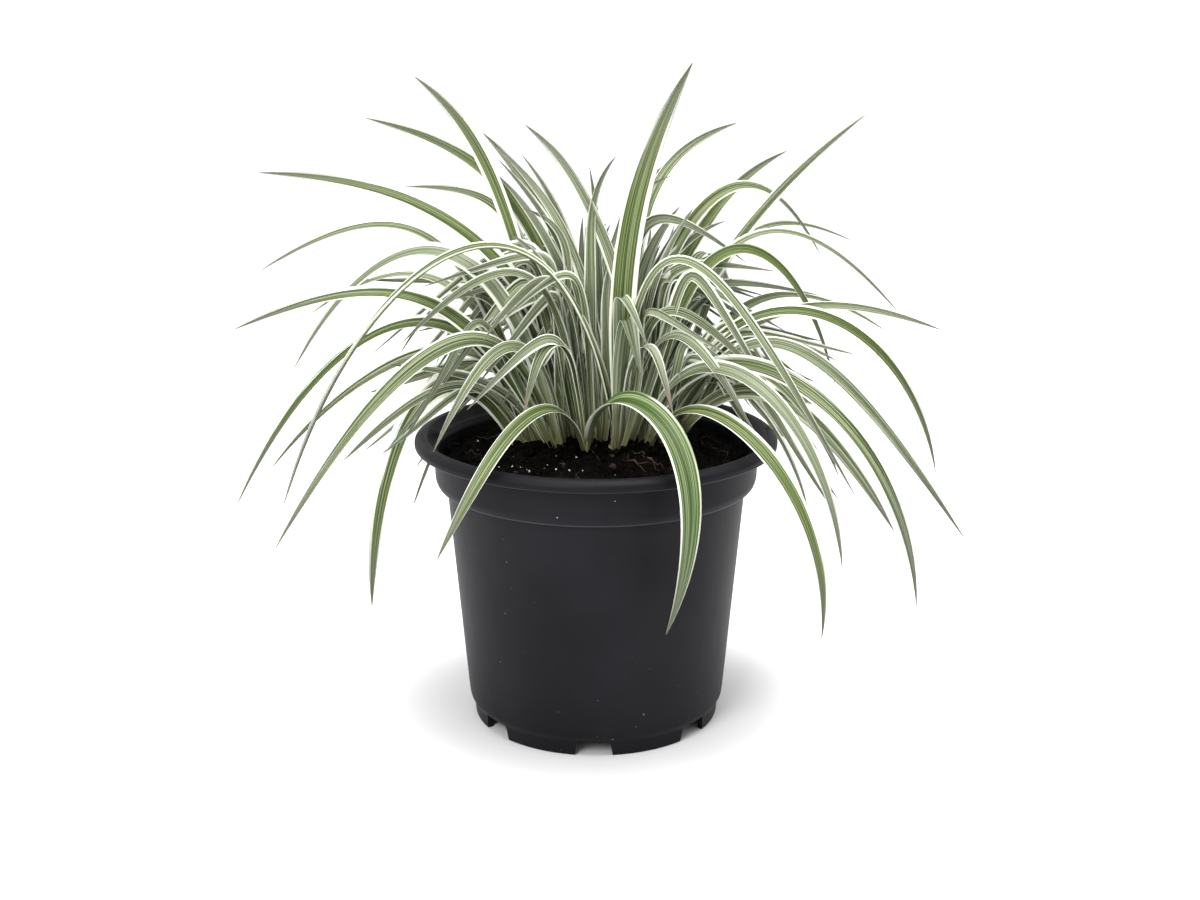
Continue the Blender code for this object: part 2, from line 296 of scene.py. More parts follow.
def turned(profile, columns):
    """Points and quads of a profile (radius, height) turned about Z; its ends lie on the axis.

    x = radius cos angle, y = radius sin angle. The two rows on the axis are welded later.
    """
    angle = np.linspace(0.0, 2.0 * np.pi, columns, endpoint=False)
    radius = profile[:, :1]
    points = np.stack([radius * np.cos(angle), radius * np.sin(angle),
                       np.repeat(profile[:, 1:], columns, axis=1)], axis=-1)
    return points.reshape(-1, 3), grid_faces(len(profile), columns, True)


def finish_mesh(made, crease=None):
    """Applies the modifiers, merges doubles, drops what they leave flat, and recounts normals."""
    whole = bpy.context.evaluated_depsgraph_get()
    mesh = bpy.data.meshes.new_from_object(made.evaluated_get(whole))
    made.modifiers.clear()
    old = made.data
    made.data = mesh
    bpy.data.meshes.remove(old)

    work = bmesh.new()
    work.from_mesh(mesh)
    bmesh.ops.remove_doubles(work, verts=work.verts, dist=0.00001)
    bmesh.ops.dissolve_degenerate(work, edges=work.edges, dist=0.000005)
    bmesh.ops.recalc_face_normals(work, faces=work.faces)
    work.to_mesh(mesh)
    work.free()
    if crease:
        mesh.set_sharp_from_angle(angle=math.radians(crease))


LIP_RADIUS = 85.0
POT_HEIGHT = 140.0
COLLAR_RADIUS = 76.0
COLLAR_BOTTOM = 116.0
COLLAR_TOP = 134.5
WALL_TOP_RADIUS = 70.5
WALL_FOOT_RADIUS = 62.5
FOOT_RADIUS = 59.6
FOOT_HEIGHT = 9.0
WALL = 1.6
inner_collar = COLLAR_RADIUS - WALL - 0.4
pot_profile = rounded([
    (0.0, FOOT_HEIGHT, 0.0),
    (FOOT_RADIUS - 3.0, FOOT_HEIGHT, 0.8),
    (FOOT_RADIUS - 2.4, 0.0, 0.5),
    (FOOT_RADIUS, 0.0, 0.7),
    (FOOT_RADIUS + 0.5, 7.0, 1.5),
    (WALL_FOOT_RADIUS - 0.5, FOOT_HEIGHT + 0.6, 1.5),
    (WALL_FOOT_RADIUS, FOOT_HEIGHT + 5.0, 2.0),
    (WALL_TOP_RADIUS, COLLAR_BOTTOM, 0.5),
    (COLLAR_RADIUS - 1.6, COLLAR_BOTTOM + 0.2, 1.5),
    (COLLAR_RADIUS - 0.3, COLLAR_BOTTOM + 3.5, 1.5),
    (COLLAR_RADIUS, COLLAR_TOP, 0.4),
    (LIP_RADIUS - 0.2, COLLAR_TOP + 0.1, 0.9),
    (LIP_RADIUS, POT_HEIGHT - 2.2, 1.5),
    (LIP_RADIUS - 3.0, POT_HEIGHT, 1.6),
    (LIP_RADIUS - 5.6, POT_HEIGHT, 1.2),
    (LIP_RADIUS - 7.0, POT_HEIGHT - 2.2, 1.2),
    (inner_collar, COLLAR_TOP - 2.6, 1.0),
    (inner_collar - 0.2, COLLAR_BOTTOM + 2.6, 1.0),
    (WALL_TOP_RADIUS - WALL, COLLAR_BOTTOM - 0.4, 1.0),
    (WALL_FOOT_RADIUS - WALL, FOOT_HEIGHT + 4.0, 1.0),
    (WALL_FOOT_RADIUS - WALL - 3.0, FOOT_HEIGHT + 2.0, 1.0),
    (0.0, FOOT_HEIGHT + 2.0, 0.0)])

plastic = Look("black_plastic", Roughness=0.42, Specular_IOR_Level=0.11)
here = plastic.place()
cloud = plastic.noise(here, 18.0, 4.0)
grain = plastic.noise(here, 2600.0, 2.0)
streak = plastic.noise(
    plastic.node("Mapping", {}, {"Vector": here, "Scale": (60.0, 60.0, 9.0)}), 6.0, 3.0)
dust_cells = plastic.node(
    "TexVoronoi", {"feature": "F1"}, {"Vector": here, "Scale": 150.0, "Randomness": 1.0})
dust_patch = plastic.noise(here, 34.0, 1.0).step(0.56, 0.7)
height_up = plastic.node("SeparateXYZ", {}, {0: here}, out="Z")
low_down = height_up.step(0.075, 0.005)
# Painted highlights: thin lighter bands of the plastic at the collar's step and under the lip, where
# those edges catch the light; they are not wear.
painted_edge_highlights = ((height_up - 0.1168).size().step(0.0006, 0.0002) * 0.40
          + (height_up - 0.1347).size().step(0.0006, 0.0002) * 0.30)
dust = dust_cells.step(0.055, 0.03) * (dust_patch + 0.25 * low_down)
scuff_lines = plastic.noise(
    plastic.node("Mapping", {}, {"Vector": here, "Scale": (30.0, 30.0, 420.0),
                                 "Rotation": (0.2, 0.35, 0.0)}), 5.0, 6.0, 0.7)
scuffs = scuff_lines.step(0.63, 0.7) * plastic.noise(here, 26.0, 2.0).step(0.55, 0.68) * low_down
BLACK = (0.0041, 0.0040, 0.0058)
CHARCOAL = (0.0078, 0.0076, 0.0100)
DUST = (0.33, 0.31, 0.28)
plastic_tone = plastic.mix(cloud.step(0.35, 0.7), BLACK, CHARCOAL)
# The painted edge highlights lighten the black plastic towards dark grey along those two bands.
edge_highlighted = plastic.mix(painted_edge_highlights * (0.4 + cloud), plastic_tone, (0.075, 0.075, 0.08))
scuffed = plastic.mix(scuffs * 0.5, edge_highlighted, (0.16, 0.16, 0.16))
plastic.feed("Base Color", plastic.mix(dust, scuffed, DUST))
plastic.feed("Roughness", 0.4 + 0.12 * cloud + 0.08 * streak + 0.2 * scuffs)
plastic.bump(grain * 0.6 + cloud * 0.4, 0.25, 0.00012)

pot = piece("pot_shell", *turned(pot_profile, 240), plastic, "black_plastic")

NOTCH_COUNT = 7
FIRST_NOTCH = -91.0            # degrees about Z
NOTCH_LOW = 18.0               # width at the ground
NOTCH_HIGH = 15.0              # width at its top
NOTCH_TOP = 8.0
NOTCH_INNER = FOOT_RADIUS - 8.6
NOTCH_OUTER = FOOT_RADIUS + 6.4
for k in range(NOTCH_COUNT):
    ends = []
    for height, half in ((-1.0, NOTCH_LOW / 2), (NOTCH_TOP, NOTCH_HIGH / 2)):
        for radius, side in ((NOTCH_INNER, -half), (NOTCH_OUTER, -half),
                             (NOTCH_OUTER, half), (NOTCH_INNER, half)):
            turn = math.radians(FIRST_NOTCH + k * 360.0 / NOTCH_COUNT)
            ends.append((radius * math.cos(turn) - side * math.sin(turn),
                         radius * math.sin(turn) + side * math.cos(turn), height))
    cutter_mesh = bpy.data.meshes.new(f"notch_{k}")
    cutter_mesh.from_pydata(
        [(x * MM, y * MM, z * MM) for x, y, z in ends], [],
        [(3, 2, 1, 0), (4, 5, 6, 7), (0, 1, 5, 4), (1, 2, 6, 5), (2, 3, 7, 6), (3, 0, 4, 7)])
    cutter = bpy.data.objects.new(f"notch_{k}", cutter_mesh)
    bpy.context.scene.collection.objects.link(cutter)
    cut = pot.modifiers.new(f"notch_{k}", "BOOLEAN")
    cut.operation = "DIFFERENCE"
    cut.object = cutter
finish_mesh(pot, 40.0)
for k in range(NOTCH_COUNT):
    bpy.data.objects.remove(bpy.data.objects[f"notch_{k}"])
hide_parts("nursery_pot")

TAB_ANGLE = 47.0
TAB_HALF = 6.0
TAB_RISE = 3.2
TAB_STATIONS = 25
TAB_SIDES = 16
# A rounded bar laid along the lip. closing draws each ring in to a point at the bar's two ends.
spread = np.linspace(-1.0, 1.0, TAB_STATIONS)[:, None]
round_tab = np.linspace(0.0, 2.0 * np.pi, TAB_SIDES, endpoint=False)[None, :]
closing = np.sqrt(1.0 - spread ** 8)
tab_height = TAB_RISE * np.sqrt(1.0 - spread ** 4)
tab_out = LIP_RADIUS - 3.9 + 1.3 * np.cos(round_tab) * (1.0 - 0.45 * spread ** 2) * closing
tab_up = POT_HEIGHT - 0.9 + (0.5 + 0.5 * np.sin(round_tab)) * (0.9 + tab_height) * closing
tab_side = TAB_HALF * spread + 0.0 * round_tab
turn = math.radians(TAB_ANGLE)
tab_points = np.stack([tab_out * math.cos(turn) - tab_side * math.sin(turn),
                       tab_out * math.sin(turn) + tab_side * math.cos(turn), tab_up], axis=-1)
tab = piece("rim_lug", tab_points.reshape(-1, 3), grid_faces(TAB_STATIONS, TAB_SIDES, True),
            plastic, "black_plastic")
finish_mesh(tab)


# --------------------------------------------------------------
# Potting soil. Dark fibrous peat, lumpy and a little hollowed towards the rim, with crumbs,
# bark, white perlite, and a few dead roots lying on it. One surface and small loose bits.
# --------------------------------------------------------------
SOIL_LEVEL = 130.0
SOIL_EDGE = 127.0
SOIL_RADIUS = inner_collar - 0.35
rng = np.random.default_rng(11)


def billow(x, y, size, seed, waves=14):
    """Lumpy relief between about -1 and 1: a sum of sine waves in random directions.

    Each wave's length is the size times a random factor from a half to one and a half.
    """
    draw = np.random.default_rng(seed)
    total = np.zeros_like(x)
    for _ in range(waves):
        turn, phase = draw.uniform(0.0, 2.0 * np.pi, 2)
        pace = 2.0 * np.pi / (size * draw.uniform(0.5, 1.5))
        total += np.sin(pace * (x * np.cos(turn) + y * np.sin(turn)) + phase)
    return total / math.sqrt(2.0 * waves)


def soil_height(x, y):
    """Height of the soil at a point: a low mound, banked around the clump, with lumps."""
    radius = np.hypot(x, y)
    mound = SOIL_EDGE + (SOIL_LEVEL + 0.6 - SOIL_EDGE) * np.clip((SOIL_RADIUS - radius) / 34.0, 0, 1)
    clump = 3.2 * np.exp(-((x / 44.0) ** 2 + (y / 26.0) ** 2) ** 3)
    lumps = 1.3 * billow(x, y, 17.0, 1) + 1.0 * billow(x, y, 6.5, 2) + 0.5 * billow(x, y, 2.4, 3)
    return mound + clump + lumps


peat = Look("peat", Roughness=0.9, Specular_IOR_Level=0.03)
ground = peat.place()
clod = peat.noise(ground, 240.0, 5.0, 0.62)
shred = peat.noise(ground, 900.0, 3.0)
damp = peat.noise(ground, 45.0, 2.0)
earth = peat.mix(clod.step(0.40, 0.72), (0.0008, 0.0007, 0.0006), (0.0056, 0.0046, 0.0032))
fleck = peat.mix(shred.step(0.66, 0.78), earth, (0.045, 0.029, 0.019))
peat.feed("Base Color", peat.mix(damp.step(0.6, 0.4) * 0.5, fleck, (0.0025, 0.002, 0.0016)))
peat.feed("Roughness", 0.72 + 0.25 * damp)
peat.bump(clod + shred * 0.35, 0.9, 0.0011)

SOIL_RINGS = 80
SOIL_SPOKES = 260
reach = np.concatenate([[0.0], np.linspace(1.2, SOIL_RADIUS, SOIL_RINGS)])
angle = np.linspace(0.0, 2.0 * np.pi, SOIL_SPOKES, endpoint=False)
soil_x = reach[:, None] * np.cos(angle)
soil_y = reach[:, None] * np.sin(angle)
soil_top = np.stack([soil_x, soil_y, soil_height(soil_x, soil_y)], axis=-1)
under = [(SOIL_RADIUS, COLLAR_BOTTOM + 3.4), (WALL_TOP_RADIUS - WALL - 0.4, COLLAR_BOTTOM + 0.2),
         (WALL_FOOT_RADIUS - WALL - 0.4, FOOT_HEIGHT + 4.6), (WALL_FOOT_RADIUS - 5.4, FOOT_HEIGHT + 2.3),
         (0.0, FOOT_HEIGHT + 2.3)]
soil_under = np.stack([np.stack([r * np.cos(angle), r * np.sin(angle), 0 * angle + z], axis=-1)
                       for r, z in under])
soil_points = np.concatenate([soil_top, soil_under]).reshape(-1, 3)
soil_rows = SOIL_RINGS + 1 + len(under)
soil = piece("peat_surface", soil_points, grid_faces(soil_rows, SOIL_SPOKES, True)[:, ::-1], peat,
             "peat")
finish_mesh(soil)
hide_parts("potting_soil")

# A ball of 24 quads: the six sides of a cube, two squares by two, pushed out to a sphere.
cube_sides = []
for axis in range(3):
    for sign in (-1.0, 1.0):
        one, two = np.meshgrid([-1.0, 0.0, 1.0], [-1.0, 0.0, 1.0], indexing="ij")
        side = np.zeros((3, 3, 3))
        side[..., axis] = sign
        side[..., (axis + 1) % 3] = one * sign
        side[..., (axis + 2) % 3] = two
        cube_sides.append(side.reshape(-1, 3))
cube_points, corner_of = np.unique(np.concatenate(cube_sides), axis=0, return_inverse=True)
ball_points = unit(cube_points)
ball_quads = corner_of.ravel()[np.concatenate(
    [grid_faces(3, 3, False) + 9 * side_number for side_number in range(6)])]


def crumbs(centres, sizes, flatness, seed):
    """Irregular grains of given centres and sizes.

    Each is the ball with its corners pushed in and out at random, squashed by flatness and by
    random shares, turned at random and set at its centre.
    """
    draw = np.random.default_rng(seed)
    count = len(centres)
    balls = ball_points * draw.uniform(0.62, 1.25, (count, len(ball_points), 1))
    balls = balls * np.stack([draw.uniform(0.7, 1.3, count), draw.uniform(0.6, 1.1, count),
                              np.full(count, flatness)], axis=-1)[:, None, :]
    turn, _ = np.linalg.qr(draw.normal(size=(count, 3, 3)))
    turn = turn * np.sign(np.linalg.det(turn))[:, None, None]
    balls = np.einsum("nij,nkj->nki", turn, balls) * np.asarray(sizes)[:, None, None]
    points = (balls + centres[:, None, :]).reshape(-1, 3)
    quads = ball_quads[None] + (np.arange(count) * len(ball_points))[:, None, None]
    return points, quads.reshape(-1, 4)[:, ::-1]


def scattered(count, inner, outer, seed, sink=0.2):
    """Random places on the soil between two radii, sunk a little into it."""
    draw = np.random.default_rng(seed)
    radius = np.sqrt(draw.uniform(inner ** 2, outer ** 2, count))
    turn = draw.uniform(0.0, 2.0 * np.pi, count)
    x, y = radius * np.cos(turn), radius * np.sin(turn)
    return np.stack([x, y, soil_height(x, y) - sink], axis=-1)


SHOOTS = {  # name: x, y, height of the wrapped base
    "a": (-31.0, 2.0, 14.0), "b": (-19.0, -7.0, 15.0), "c": (-17.0, 9.0, 16.0),
    "d": (-4.0, -12.0, 16.0), "e": (-3.0, 7.0, 16.5), "f": (9.0, -8.0, 17.0),
    "g": (12.0, 9.0, 17.0), "h": (23.0, -3.0, 15.0), "i": (32.0, 8.0, 14.0)}
HEAP_COUNT = 80                # crumbs heaped round each shoot
heap = np.repeat(np.array(list(SHOOTS.values()))[:, :2], HEAP_COUNT, axis=0)
heap = heap + rng.normal(0.0, 6.5, heap.shape)
heap_size = 0.5 + 2.7 * rng.uniform(0.0, 1.0, len(heap)) ** 3
heap = np.column_stack([heap, soil_height(heap[:, 0], heap[:, 1]) + rng.uniform(0.0, 1.2, len(heap))])
CRUMB_COUNT = 3000             # crumbs over the whole surface
crumb_size = np.concatenate([heap_size, 0.35 + 1.5 * rng.uniform(0.0, 1.0, CRUMB_COUNT) ** 4])
crumb_places = np.concatenate([heap, scattered(CRUMB_COUNT, 2.0, SOIL_RADIUS - 2.0, 5)])
crumb_points, crumb_quads = crumbs(crumb_places, crumb_size, 0.8, 6)
piece("peat_crumbs", crumb_points, crumb_quads, peat, "peat")

perlite = Look("perlite", Roughness=0.85, Specular_IOR_Level=0.3)
chalk = perlite.noise(perlite.place(), 700.0, 3.0)
perlite.feed("Base Color", perlite.mix(chalk, (0.42, 0.40, 0.36), (0.82, 0.81, 0.78)))
perlite.bump(chalk, 0.6, 0.0003)
NEAR_GRAINS = (  # x, y, size
    (-38.0, -29.0, 0.5625), (-30.0, -36.0, 0.7125), (-18.0, -37.0, 0.6375), (-12.0, -36.0, 0.525),
    (-57.0, 20.0, 0.6), (-9.0, -22.0, 0.45), (-27.0, -4.0, 0.45), (-31.0, -24.0, 0.3),
    (-22.0, -30.0, 0.3), (-6.0, -31.0, 0.3375), (-47.0, -18.0, 0.3), (-44.0, -30.0, 0.375))
DUST_GRAINS = 50
near = np.array(NEAR_GRAINS)
grain_centres = np.concatenate([
    np.stack([near[:, 0], near[:, 1], soil_height(near[:, 0], near[:, 1]) + 0.5], axis=-1),
    scattered(DUST_GRAINS, 12.0, SOIL_RADIUS - 2.0, 8, -0.2)])
grain_size = np.concatenate([near[:, 2], 0.12 + 0.30 * rng.uniform(0.0, 1.0, DUST_GRAINS) ** 3])
grain_points, grain_quads = crumbs(grain_centres, grain_size, 0.85, 9)
piece("perlite_grains", grain_points, grain_quads, perlite, "peat")


def tubes(paths, radii, sides=6):
    """Round strings along paths: rings of the given radius, square to the path at each point.

    paths is (strings, stations, 3); radii is (strings, stations), and 0 closes an end.
    """
    along = unit(np.gradient(paths, axis=1))
    across = unit(np.cross(along, np.array([0.13, 0.21, 0.97])))
    over = np.cross(along, across)
    angle = np.linspace(0.0, 2.0 * np.pi, sides, endpoint=False)
    ring = (across[:, :, None] * np.cos(angle)[:, None] + over[:, :, None] * np.sin(angle)[:, None])
    points = paths[:, :, None] + radii[:, :, None, None] * ring
    strings, stations = paths.shape[:2]
    quads = grid_faces(stations, sides, True)
    quads = quads[None] + (np.arange(strings) * stations * sides)[:, None, None]
    return points.reshape(-1, 3), quads.reshape(-1, 4)[:, ::-1]


dead_root = Look("dead_root", Roughness=0.75, Specular_IOR_Level=0.3)
fibre_tone = dead_root.noise(dead_root.place(), 120.0, 2.0)
dead_root.feed("Base Color", dead_root.mix(
    fibre_tone.step(0.35, 0.65), (0.012, 0.007, 0.005), (0.070, 0.047, 0.034)))
ROOTS = (  # start x, y, end x, y, sideways bend, thickness
    (-70.0, 10.0, -58.0, 36.0, 5.0, 0.30), (-60.0, 30.0, -44.0, 38.0, -4.0, 0.5),
    (52.0, 12.0, 58.0, -14.0, 6.0, 0.28), (-2.0, -20.0, 1.5, -27.0, 1.0, 0.45),
    (17.0, -14.0, 28.0, -34.0, 3.0, 0.75), (15.0, -16.0, 24.0, -38.0, -3.0, 0.55),
    (20.0, -20.0, 31.0, -30.0, 2.0, 0.6), (12.0, -22.0, 26.0, -30.0, -2.0, 0.5),
    (40.0, 30.0, 62.0, 22.0, -4.0, 0.4), (-50.0, -10.0, -62.0, 4.0, 3.0, 0.25))
HAIR_COUNT = 34
hairs = np.concatenate([
    rng.uniform(-60.0, 60.0, (HAIR_COUNT, 2)), np.zeros((HAIR_COUNT, 2)),
    rng.uniform(-3.0, 3.0, (HAIR_COUNT, 1)), rng.uniform(0.10, 0.22, (HAIR_COUNT, 1))], axis=1)
hairs[:, 2:4] = hairs[:, :2] + rng.uniform(-11.0, 11.0, (HAIR_COUNT, 2))
hairs[np.hypot(hairs[:, 0], hairs[:, 1]) > 62.0, :4] *= 0.6
root_rows = np.concatenate([np.array(ROOTS), hairs])
# A root is a straight run from start to end, bowed sideways and wavy, lying on the soil.
lie = np.linspace(0.0, 1.0, 14)
gap_x = root_rows[:, 2] - root_rows[:, 0]
gap_y = root_rows[:, 3] - root_rows[:, 1]
span = np.hypot(gap_x, gap_y)
bend = root_rows[:, 4:5] * np.sin(np.pi * lie) + 0.8 * np.sin(9.0 * lie + root_rows[:, :1])
root_x = root_rows[:, :1] + gap_x[:, None] * lie - gap_y[:, None] / span[:, None] * bend
root_y = root_rows[:, 1:2] + gap_y[:, None] * lie + gap_x[:, None] / span[:, None] * bend
lift = 0.2 + 0.8 * np.abs(np.sin(4.0 * lie + root_rows[:, 1:2]))
root_paths = np.stack([root_x, root_y, soil_height(root_x, root_y) + lift], axis=-1)
thin_ends = np.sqrt(np.clip(4.0 * lie * (1.0 - lie), 0.0, 1.0))
roots = piece("dead_roots", *tubes(root_paths, 0.5 * root_rows[:, 5:6] * thin_ends),
              dead_root, "peat")
finish_mesh(roots)

bark = Look("bark", Roughness=0.8, Specular_IOR_Level=0.3)
bark_grain = bark.noise(
    bark.node("Mapping", {}, {"Vector": bark.place(), "Scale": (1.0, 3.5, 1.0)}), 380.0, 4.0)
bark.feed("Base Color", bark.mix(bark_grain, (0.006, 0.004, 0.003), (0.040, 0.023, 0.017)))
bark.bump(bark_grain, 0.8, 0.0005)
NEAR_CHIPS = ((7.5, -35.0, 1.9), (33.0, -8.0, 1.6), (45.0, 18.0, 1.4))    # x, y, size
CHIP_COUNT = 26
near = np.array(NEAR_CHIPS)
chip_places = np.concatenate([near, scattered(CHIP_COUNT, 20.0, SOIL_RADIUS - 6.0, 15)])
chip_places[:, 2] = soil_height(chip_places[:, 0], chip_places[:, 1]) + 0.5
chip_size = np.concatenate([near[:, 2], rng.uniform(0.7, 1.6, CHIP_COUNT)])
piece("bark_chips", *crumbs(chip_places, chip_size, 0.4, 16), bark, "peat")


# --------------------------------------------------------------
# Leaf bases. Each shoot of the sedge stands in a fan of short pale sheaths, the remains of its
# oldest leaves, browned where they leave the soil. Thin bent strips, all one piece.
# --------------------------------------------------------------
def strip_frame(path, heading, roll):
    """Side and upper directions along paths (strips, stations, 3).

    The side is level and square to the strip's heading, and the upper direction is along x
    side; both then turn about the path by roll. heading is (strips,), angles are in radians.
    """
    along = unit(np.gradient(path, axis=1))
    level = np.stack([-np.sin(heading), np.cos(heading), 0.0 * heading], axis=-1)[:, None]
    level = unit(level - along * np.sum(along * level, axis=-1, keepdims=True))
    upper = np.cross(along, level)
    turn = roll[..., None]
    return (level * np.cos(turn) + upper * np.sin(turn),
            upper * np.cos(turn) - level * np.sin(turn))


COLUMNS = 9
ACROSS = np.linspace(-1.0, 1.0, COLUMNS)


def strips(path, heading, width, roll, fold, cup, thick):
    """Closed thin strips folded along the middle.

    A point at share a (-1 to 1) of the half width w lies at w a along the side and
    w (fold |a| + cup a^2) up. The underside is the same sheet, thick lower in the middle and
    a quarter as much at the edges. Each station is one ring: upper side, then underside back.
    path is (strips, stations, 3) and width (strips, stations); roll, fold and thick are that or
    one number.
    """
    roll, fold, thick = (value + 0.0 * width for value in (roll, fold, thick))
    side, upper = strip_frame(path, heading, roll)
    half = width[..., None] * 0.5
    rise = half * (fold[..., None] * np.abs(ACROSS) + cup * ACROSS ** 2)
    sheet = (path[:, :, None] + (half * ACROSS)[..., None] * side[:, :, None]
             + rise[..., None] * upper[:, :, None])
    slim = np.minimum(thick, 0.35 * width)[..., None] * (0.25 + 0.75 * (1.0 - np.abs(ACROSS)))
    below = sheet - slim[..., None] * upper[:, :, None]
    ring = np.concatenate([sheet, below[:, :, ::-1]], axis=2)
    count, stations, around = ring.shape[:3]
    body = grid_faces(stations, around, True)
    lower = np.arange(COLUMNS - 1)
    cap = np.stack([lower, lower + 1, around - 2 - lower, around - 1 - lower], axis=-1)
    quads = np.concatenate([body, cap, cap[:, ::-1] + (stations - 1) * around])
    quads = quads[None] + (np.arange(count) * stations * around)[:, None, None]
    return ring.reshape(-1, 3), quads.reshape(-1, 4)[:, ::-1]


def strip_marks(path, offset=0.0, **numbers):
    """Named point numbers and UV pairs for strips.

    u runs 0 to 1 across the strip, v is the distance along it in units of 10 mm plus an offset
    that differs from strip to strip. share runs 0 at the base to 1 at the tip, near_base is the
    distance from the base, and under is 1 on the underside. Other numbers are given per strip.
    """
    step = np.linalg.norm(np.diff(path, axis=1), axis=-1)
    distance = np.concatenate([np.zeros((len(path), 1)), np.cumsum(step, axis=1)], axis=1)
    count, stations = distance.shape
    u = np.concatenate([ACROSS, ACROSS[::-1]]) * 0.5 + 0.5
    around = len(u)
    grid = np.ones((count, stations, around))
    shift = (np.arange(count) * 7.31)[:, None, None] + offset
    uv = np.stack([u * grid, distance[..., None] / 10.0 * grid + shift * grid], axis=-1)
    marks = {"share": (distance / distance[:, -1:])[..., None] * grid,
             "near_base": distance[..., None] * grid,
             "under": np.repeat([0.0, 1.0], COLUMNS) * grid}
    for key, value in numbers.items():
        marks[key] = np.asarray(value)[:, None, None] * grid
    return {key: value.reshape(-1) for key, value in marks.items()}, uv.reshape(-1, 2)


def strip_place(look):
    """How far across a strip a point is, and how far along it, for a material."""
    both = look.node("UVMap", {"uv_map": "strip"}, {})
    return [look.node("SeparateXYZ", {}, {0: both}, out=name) for name in "XY"]


sheath = Look("sheath", Roughness=0.5, Specular_IOR_Level=0.35)
skin_u, skin_v = strip_place(sheath)
skin_veins = sheath.noise(sheath.point(skin_u * 22.0, skin_v * 0.7, 0.0), 1.0, 3.0)
skin_age = sheath.noise(sheath.point(skin_u * 2.0, skin_v * 0.8, 0.0), 1.4, 2.0)
skin_share = sheath.attribute("share")
pale = sheath.mix(skin_veins.step(0.35, 0.65), (0.19, 0.20, 0.095), (0.36, 0.36, 0.21))
greening = sheath.mix(skin_share.step(0.35, 1.0) * skin_veins, pale, (0.22, 0.30, 0.10))
browned = sheath.mix(
    (skin_age.step(0.50, 0.64) * 0.7 + skin_share.step(0.42, 0.05) * 0.8) * 0.8, greening,
    (0.20, 0.12, 0.06))
sheath.feed("Base Color", browned)
sheath.bump(skin_veins, 0.4, 0.0003)

SHEATHS_EACH = 4
SHEATH_DEPTH = 2.5             # how far a sheath reaches down into the soil
stations = np.linspace(0.0, 1.0, 9)
shoot_rows = np.repeat(np.array(list(SHOOTS.values())), SHEATHS_EACH, axis=0)
sheath_count = len(shoot_rows)
outward = np.arctan2(2.0 * shoot_rows[:, 1], shoot_rows[:, 0])
sheath_heading = outward + np.radians(rng.uniform(-75.0, 75.0, sheath_count))
sheath_tall = rng.uniform(9.0, 20.0, sheath_count)
sheath_near = rng.uniform(-2.0, 3.0, sheath_count)
sheath_lean = sheath_tall * rng.uniform(0.1, 0.7, sheath_count)
out = sheath_near[:, None] + sheath_lean[:, None] * stations ** 1.3
sheath_path = np.stack([shoot_rows[:, :1] + out * np.cos(sheath_heading)[:, None],
                        shoot_rows[:, 1:2] + out * np.sin(sheath_heading)[:, None],
                        SOIL_LEVEL - SHEATH_DEPTH + sheath_tall[:, None] * stations], axis=-1)
sheath_width = (rng.uniform(1.8, 3.2, sheath_count)[:, None]
                * (1.0 - 0.9 * stations ** 3) * np.ones((sheath_count, 1)))
sheath_points, sheath_quads = strips(
    sheath_path, sheath_heading, sheath_width, 0.0, 0.35, 0.45, 0.7)
sheath_marks, sheath_uv = strip_marks(sheath_path)
sheaths = piece(
    "leaf_sheaths", sheath_points, sheath_quads, sheath, "sheath", sheath_marks, sheath_uv)
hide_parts(*(f"shoot_{name}" for name in SHOOTS))


# --------------------------------------------------------------
# Leaves. Narrow folded straps that rise from the shoots and arch over; each has a green
# middle of fine parallel lines and uneven cream edges, and is paler and greyer beneath.
# --------------------------------------------------------------
leaf = Look("leaf", Roughness=0.48, Specular_IOR_Level=0.4)
across, along = strip_place(leaf)
share = leaf.attribute("share")
beneath = leaf.attribute("under")
base_length = leaf.attribute("near_base")
tone = leaf.attribute("tone")       # how greyed the leaf is; it also shifts the patterns
vivid = leaf.attribute("vivid")     # how far up the leaf the fresh green reaches
cream = leaf.attribute("cream")     # where the cream edge starts, from middle to edge
dry = leaf.attribute("dry")         # how much of the tip has withered

edge = (across - 0.5).size() * 2.0
lines = leaf.noise(leaf.point(across * 13.0, along * 0.05, tone * 9.0), 1.0, 1.0, 0.6)
fine = leaf.noise(leaf.point(across * 31.0, along * 0.09, tone * 5.0), 1.0, 1.0)
drift = leaf.noise(leaf.point(across * 2.6, along * 0.13, tone * 17.0), 1.0, 2.0)
lopsided = (across - 0.5) * (tone - 0.4) * 0.6
ragged = edge + (lines - 0.5) * 0.5 + (drift - 0.5) * 0.75 + lopsided
margin = (ragged - cream).step(-0.03, 0.05)

fresh = (vivid - (1.0 + 1.1 * tone) * share).step(0.0, 1.0)
cool = tone.step(0.16, 0.10)
olive_deep = leaf.mix(cool, (0.048, 0.082, 0.006), (0.052, 0.100, 0.013))
olive_light = leaf.mix(cool, (0.140, 0.200, 0.032), (0.160, 0.250, 0.062))
# Both greens are fine lines of a deep and a light one, crossed by near-white threads; the
# cream edge, the grey underside, the pale stained foot and the faded tip are laid over them.
deep = leaf.mix(fresh, (0.058, 0.082, 0.022), olive_deep)
light = leaf.mix(fresh, (0.208, 0.276, 0.094), olive_light)
veins = ((across * 8.0 + drift * 1.2) * (2.0 * math.pi)).wave()
pale_lines = (lines * 0.65 + fine * 0.35 + veins * 0.05).step(0.45, 0.56)
plain_green = leaf.mix(pale_lines, deep, light)
threads = (fine * 0.7 + lines * 0.3).step(0.525, 0.56) * (1.0 - 0.5 * fresh - 0.35 * share)
green = leaf.mix(threads, plain_green, (0.62, 0.66, 0.50))
green_tone = leaf.mix(
    tone.step(0.3, 1.1) * 0.50 * (1.0 - 0.85 * fresh), green, (0.285, 0.325, 0.225))
white = leaf.mix(drift.step(0.35, 0.65), (0.90, 0.92, 0.77), (0.95, 0.96, 0.89))
top_side = leaf.mix(margin, green_tone, white)
